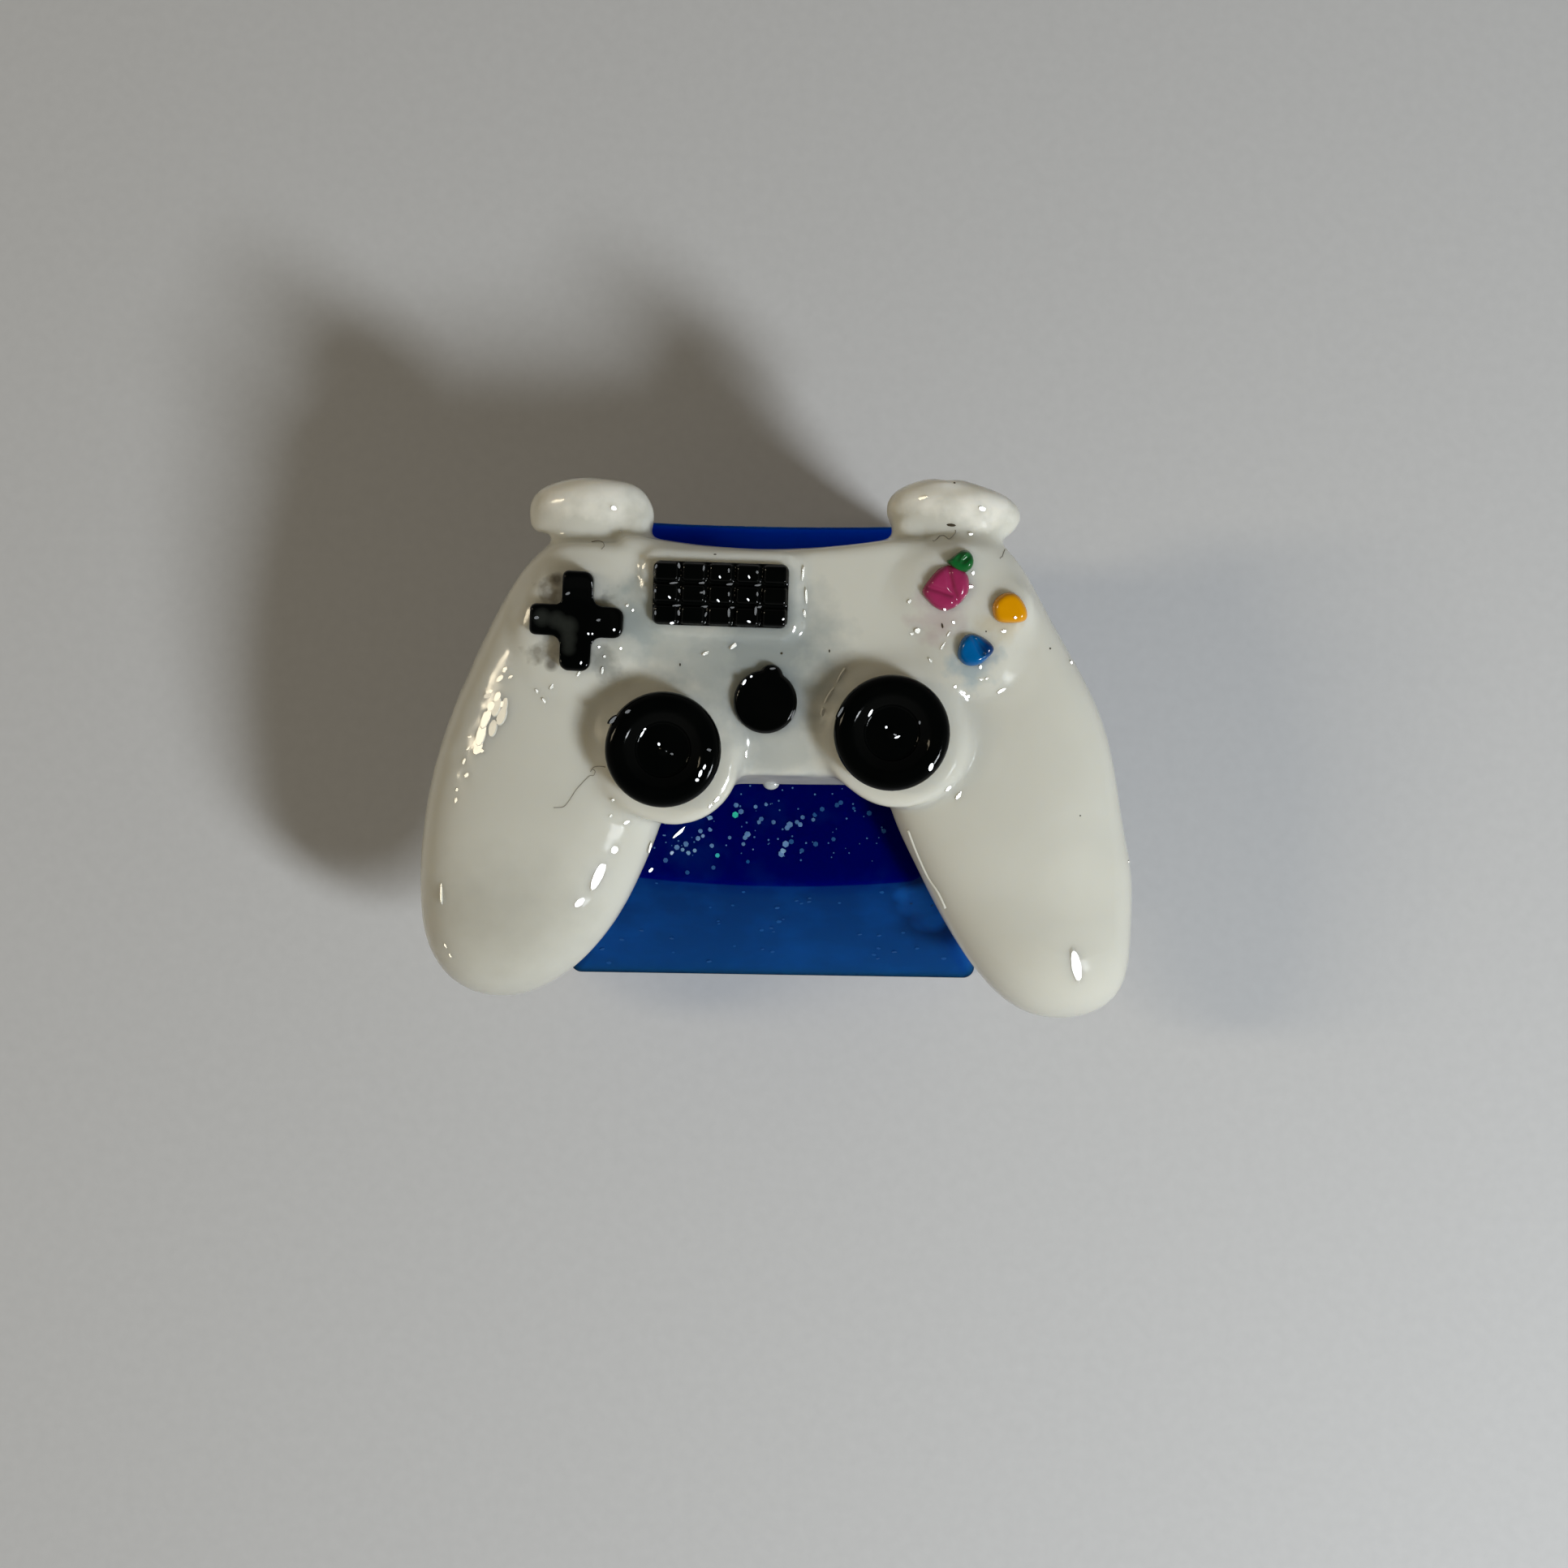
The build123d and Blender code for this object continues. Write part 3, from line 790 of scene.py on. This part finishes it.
# Polished beads and runs of resin: each faces the window that it mirrors in the photograph.
# Its head is a little smaller than the glint and stands higher where it leans; its foot is wider
bead_depth = 0.12
bead_share = 0.8
bead_lift = 0.012
bead_lean = 0.7
bead_foot = 1.25
bead_crease = 0.4


def bead(form, window, column, row, length, width, slope):
    """A low bead with a polished head; its size and slope are as the photograph shows them."""
    point, normal = sighted(whole_skin, column, row)
    facing = ((window - point).normalized() + (camera_place - point).normalized()).normalized()
    along = along_picture(slope, facing)
    half_length = bead_share * length / 2 / picture_scale
    half_width = bead_share * width / 2 / picture_scale
    lean = math.sqrt(max(1 - normal.dot(facing) ** 2, 0.0))
    head = point + normal * (bead_lift + bead_lean * lean * half_width)
    sides = (along * half_length, facing.cross(along) * half_width, facing)
    turn = Matrix(sides).transposed().to_4x4()
    bmesh.ops.create_cone(
        form,
        cap_ends=True,
        segments=12,
        radius1=bead_foot,
        radius2=1.0,
        depth=bead_depth,
        matrix=Matrix.Translation(head - facing * bead_depth / 2) @ turn,
    )


# Each bead in pixels of the photograph: (column, row, length, width, slope in degrees)
white_beads = [
    (738, 797, 4, 4, 0), (765, 799, 4, 4, 0), (780, 752, 4, 4, 0), (919, 929, 3, 12, 0),
    (772, 1013, 10, 5, 30), (1196, 659, 7, 4, 0), (1199, 706, 5, 5, 0), (1175, 767, 5, 5, 0),
    (1237, 778, 8, 5, 0), (1208, 822, 5, 6, 0), (1177, 846, 5, 5, 0), (1187, 854, 6, 4, 20),
    (1193, 858, 6, 5, 0), (1190, 861, 3, 3, 0), (1234, 851, 15, 5, 25), (979, 773, 5, 4, 0),
    (1168, 971, 12, 5, 40), (1182, 980, 15, 5, 50), (756, 626, 10, 6, -30), (883, 985, 12, 5, 45),
    (875, 993, 8, 4, 40), (1319, 817, 4, 5, 0), (798, 1043, 3, 17, -15), (765, 655, 4, 3, 0),
    (1326, 1190, 50, 15, -75), (757, 1047, 12, 11, 45), (737, 1079, 48, 15, 66),
    (714, 1112, 19, 10, 35), (1210, 627, 12, 7, -25),
]
pale_beads = [
    (745, 809, 5, 4, 0), (773, 746, 6, 4, 30), (753, 1005, 6, 4, 0), (756, 985, 5, 4, 0),
    (1209, 837, 6, 4, 0), (1216, 836, 6, 4, 10), (1390, 1062, 4, 3, 0), (662, 852, 8, 4, -55),
    (671, 864, 12, 4, -52), (742, 826, 4, 12, -10), (1037, 833, 24, 4, 62), (1023, 857, 26, 4, 60),
    (1015, 878, 12, 5, 85), (1162, 796, 14, 3, 62), (1169, 781, 10, 3, 60), (1121, 741, 7, 5, 50),
    (1131, 777, 10, 8, 0), (1124, 781, 6, 4, 20), (1147, 815, 12, 3, -55), (988, 707, 4, 22, -8),
    (993, 735, 4, 24, 3), (991, 756, 4, 12, 10), (905, 795, 16, 6, 40), (870, 805, 12, 5, 20),
    (680, 846, 10, 4, 60), (713, 830, 10, 4, 60),
]
warm_beads = [
    (622, 825, 10, 6, 50), (616, 836, 14, 7, 40), (629, 834, 8, 4, 30), (603, 852, 12, 5, 10),
    (613, 858, 16, 9, 60), (605, 870, 16, 11, 60), (618, 868, 10, 6, 70), (600, 884, 14, 8, 50),
    (593, 904, 16, 8, 40), (588, 916, 18, 12, 60), (592, 925, 12, 6, 0), (579, 908, 8, 3, 10),
    (577, 922, 8, 3, 40), (572, 938, 10, 4, 60), (575, 955, 8, 6, 40), (563, 973, 6, 4, 70),
    (562, 986, 9, 4, 75), (549, 1165, 8, 3, -60), (555, 1177, 8, 3, -55), (545, 1100, 3, 30, 0),
    (1136, 614, 20, 4, 12), (599, 884, 36, 13, 66), (593, 904, 38, 15, 73), (589, 921, 24, 13, 58),
]
dim_warm_beads = [
    (611, 870, 32, 15, 74), (618, 882, 30, 14, 66), (607, 897, 26, 13, 76), (601, 857, 14, 8, 20),
    (622, 868, 22, 9, 80),
]
blue_beads = [(838, 1025, 31, 5, 37), (802, 1072, 9, 5, 40)]
drop_beads = [(1194, 723, 10, 5, 0), (1164, 750, 4, 5, 60), (1251, 761, 5, 4, 0)]
black_beads = [
    (825, 736, 6, 2.5, -45), (885, 740, 6, 2.5, -45), (922, 739, 6, 2.5, -45),
    (887, 711, 5, 2.5, -60), (923, 711, 6, 2.5, -60), (828, 767, 7, 4, 0), (923, 766, 7, 3, -25),
    (965, 763, 4, 3, 30), (725, 781, 3, 4, 30), (730, 781, 3, 3, 0), (757, 776, 4, 4, 0),
    (716, 817, 3, 5, -20), (791, 904, 3, 12, -30), (794, 898, 5, 3, 35), (812, 917, 4, 5, 20),
    (868, 945, 4, 8, -20), (863, 953, 5, 12, -20), (859, 961, 6, 5, 0), (1072, 878, 4, 13, -30),
    (1092, 896, 4, 4, 0), (1106, 908, 11, 3, 15), (1147, 945, 7, 13, -20), (918, 841, 4, 10, -30),
    (926, 834, 4, 3, 30),
]
dim_black_beads = [
    (835, 697, 4, 9, 10), (837, 728, 4, 7, 20), (838, 755, 4, 9, 5), (867, 700, 3, 9, -5),
    (867, 730, 3, 7, 0), (868, 757, 3, 8, -20), (898, 703, 3, 7, 0), (898, 732, 3, 7, 0),
    (898, 755, 4, 14, 0), (902, 749, 8, 3, 0), (933, 705, 4, 5, 30), (933, 732, 3, 7, 0),
    (931, 753, 4, 14, -5), (936, 748, 8, 3, 0), (809, 698, 3, 7, -20), (808, 728, 3, 6, 0),
    (808, 755, 3, 7, 0), (700, 731, 9, 4, 15), (738, 764, 8, 4, 0), (661, 761, 8, 5, 0),
    (874, 924, 9, 4, -20), (757, 888, 16, 6, 40), (774, 877, 10, 5, 20), (828, 929, 6, 3, -20),
    (1038, 878, 4, 18, -30), (1134, 890, 3, 6, 0), (976, 880, 3, 16, -20), (952, 824, 10, 3, 0),
    (865, 730, 8, 3, 0), (830, 719, 14, 3, 0), (866, 718, 14, 3, 0), (900, 720, 14, 3, 0),
    (935, 721, 14, 3, 0), (833, 747, 14, 3, 0), (868, 748, 14, 3, 0),
]
white_tints = (white_pale, white_deep)
blue_tints = ("#0a2a66", "#03184a")
pink_tints = ("#b05a70", "#a04a5c")
black_tints = ("#030403", "#080908")
# (beads, window, material, colours, shine)
bead_groups = {
    "white_beads": (white_beads, key_place, "polished_white_resin", white_tints, 0.25),
    "pale_beads": (pale_beads, key_place, "half_polished_white_resin", white_tints, 0.05),
    "warm_beads": (warm_beads, warm_place, "high_polished_white_resin", white_tints, 0.5),
    "dim_warm_beads": (dim_warm_beads, warm_place, "rubbed_white_resin", white_tints, 0.22),
    "blue_beads": (blue_beads, key_place, "polished_blue_resin", blue_tints, 0.3),
    "drop_beads": (drop_beads, key_place, "polished_pink_resin", pink_tints, 0.25),
    "black_beads": (black_beads, key_place, "polished_black_resin", black_tints, 0.25),
    "dim_black_beads": (
        dim_black_beads, key_place, "half_polished_black_resin", black_tints, 0.025
    ),
}
for name, (marks, window, skin, tints, shine) in bead_groups.items():
    beads = bmesh.new()
    for mark in marks:
        bead(beads, window, *mark)
    finished(beads, name, polished_resin(skin, *tints, shine), crease=bead_crease)

# A drip of white resin that ran from the front of the plate onto the blue
drip_sight = (950, 968)
drip_size = (0.36, 0.3, 0.2)
drip_setback = 0.12
drip_place = sighted(base_skin, *drip_sight)[0] + drip_setback * pad_back
drip_turn = pad_turn.to_4x4() @ Matrix.Diagonal((*drip_size, 1.0))
drip = bmesh.new()
bmesh.ops.create_uvsphere(
    drip,
    u_segments=20,
    v_segments=12,
    radius=1.0,
    matrix=Matrix.Translation(drip_place) @ drip_turn,
)
finished(drip, "white_drip", white)

# Threads of resin or lint that lie on the white
thread_sides = 8
thread_steps = 4
thread_rounds = 2


def tube(form, path, radius):
    """A round thread along a path that lies on the game pad."""
    rings = []
    for i, point in enumerate(path):
        ahead = (path[min(i + 1, len(path) - 1)] - path[max(i - 1, 0)]).normalized()
        side = ahead.cross(pad_up).normalized()
        over = side.cross(ahead)
        ring = []
        for step in range(thread_sides):
            angle = step * math.tau / thread_sides
            offset = radius * (math.cos(angle) * side + math.sin(angle) * over)
            ring.append(form.verts.new(point + offset))
        rings.append(ring)
    for first, second in zip(rings, rings[1:]):
        for i in range(thread_sides):
            form.faces.new((first[i - 1], first[i], second[i], second[i - 1]))
    form.faces.new(rings[0])
    form.faces.new(reversed(rings[-1]))


def thread(form, sights, radius, lift):
    """A thread laid on the white resin along pixels of the photograph."""
    path = []
    for (column, row), (next_column, next_row) in zip(sights, sights[1:]):
        for step in range(thread_steps):
            share = step / thread_steps
            spot = (column + share * (next_column - column), row + share * (next_row - row))
            point, normal = sighted(pad_skin, *spot)
            path.append(point + lift * normal)
    point, normal = sighted(pad_skin, *sights[-1])
    path.append(point + lift * normal)
    for _ in range(thread_rounds):
        inner = [(a + 2 * b + c) / 4 for a, b, c in zip(path, path[1:], path[2:])]
        path = [path[0], *inner, path[-1]]
    tube(form, path, radius)


# A fine ridge that the casting left on the right grip
ridge_radius = 0.07
ridge_sights = [
    (1119, 1023), (1123, 1034), (1130, 1052), (1139, 1072), (1145, 1084), (1156, 1099),
    (1165, 1119),
]
ridge = bmesh.new()
thread(ridge, ridge_sights, ridge_radius, lift=0.0)
bmesh.ops.recalc_face_normals(ridge, faces=ridge.faces)
finished(ridge, "white_ridges", polished_resin("ridge_white_resin", *white_tints, shine=0.25))

# Lint, by the pixels that it runs along
lint_radius = 0.015
lint_lift = 0.012
lint_sights = [
    [(729, 668), (736, 666), (743, 668), (745, 673), (741, 677)],
    [
        (1149, 666), (1151, 667), (1155, 664), (1158, 660), (1164, 660), (1169, 665), (1173, 662),
        (1178, 656), (1177, 653),
    ],
    [(1232, 688), (1235, 686), (1236, 682), (1238, 677)],
    [
        (682, 995), (695, 995), (703, 984), (709, 974), (718, 964), (727, 955), (732, 956),
        (734, 950), (730, 947), (727, 952), (731, 945), (738, 944), (746, 945),
    ],
]
lint = bmesh.new()
for sights in lint_sights:
    thread(lint, sights, lint_radius, lint_lift)
bmesh.ops.recalc_face_normals(lint, faces=lint.faces)
finished(lint, "lint", dull_dust("grey_lint", "#96928a", "#6b675d"))

# Dust, in pixels of the photograph: (column, row, length, width, slope in degrees)
dust_marks = [
    (1172, 647, 12, 4, -5), (1176, 595, 3, 3, 0), (838, 819, 2, 4, 0), (963, 805, 3, 3, 0),
    (881, 683, 4, 1.5, 0), (1161, 771, 2.5, 7, 10), (1215, 778, 2, 2, 0), (1294, 799, 3, 2.5, 0),
    (1022, 802, 2, 4, 0), (1331, 1005, 2, 2, 0),
]
dust_height = 0.03
dust = bmesh.new()
for column, row, length, width, slope in dust_marks:
    point, normal = sighted(pad_skin, column, row)
    along = along_picture(slope, normal)
    half_length = length / 2 / picture_scale
    half_width = width / 2 / picture_scale
    sides = (along * half_length, normal.cross(along) * half_width, normal * dust_height)
    bmesh.ops.create_uvsphere(
        dust,
        u_segments=8,
        v_segments=6,
        radius=1.0,
        matrix=Matrix.Translation(point) @ Matrix(sides).transposed().to_4x4(),
    )
finished(dust, "dust", dull_dust("brown_dust", "#4a4234", "#2c261c"))

# Board
board_half = 1000
board = bmesh.new()
bmesh.ops.create_grid(board, x_segments=1, y_segments=1, size=board_half * MM)
board_mesh = bpy.data.meshes.new("board")
board.to_mesh(board_mesh)
board.free()
board_mesh.materials.append(pale_board())
board_piece = bpy.data.objects.new("board", board_mesh)
scene.collection.objects.link(board_piece)

# Room: dark overhead, paler toward the horizon
room_color = (1.0, 0.97, 0.92, 1.0)
horizon_glow = 0.33
overhead_glow = 0.012
overhead_start = 0.9
world = bpy.data.worlds.new("room")
scene.world = world
world.use_nodes = True
room = world.node_tree
view = add(room, "TexCoord").outputs["Generated"]
rise = add(room, "SeparateXYZ", {0: view}).outputs["Z"]
glow = ranged(room, rise, low=0.0, high=overhead_start, first=horizon_glow, last=overhead_glow)
backdrop = room.nodes["Background"]
backdrop.inputs["Color"].default_value = room_color
room.links.new(glow, backdrop.inputs["Strength"])


def lamp(name, place, size, power, color):
    """A rectangular lamp that faces the keycap."""
    light = bpy.data.lights.new(name, "AREA")
    light.shape = "RECTANGLE"
    light.size, light.size_y = (side * MM for side in size)
    light.energy = power
    light.color = color
    holder = bpy.data.objects.new(name, light)
    holder.location = place * MM
    holder.rotation_euler = (place - camera_target).to_track_quat("Z", "Y").to_euler()
    scene.collection.objects.link(holder)


lamp("cool_window", key_place, key_size, key_power, key_color)
lamp("warm_window", warm_place, warm_size, warm_power, warm_color)

# Camera
lens = bpy.data.cameras.new("camera")
lens.sensor_fit = "HORIZONTAL"
lens.sensor_width = sensor_width
lens.lens = focal_length / picture_side * sensor_width
lens.clip_start = camera_clip * MM
camera = bpy.data.objects.new("camera", lens)
camera_turn = Matrix((camera_right, camera_up, camera_back)).transposed().to_4x4()
camera.matrix_world = Matrix.Translation(camera_place * MM) @ camera_turn
scene.collection.objects.link(camera)
scene.camera = camera
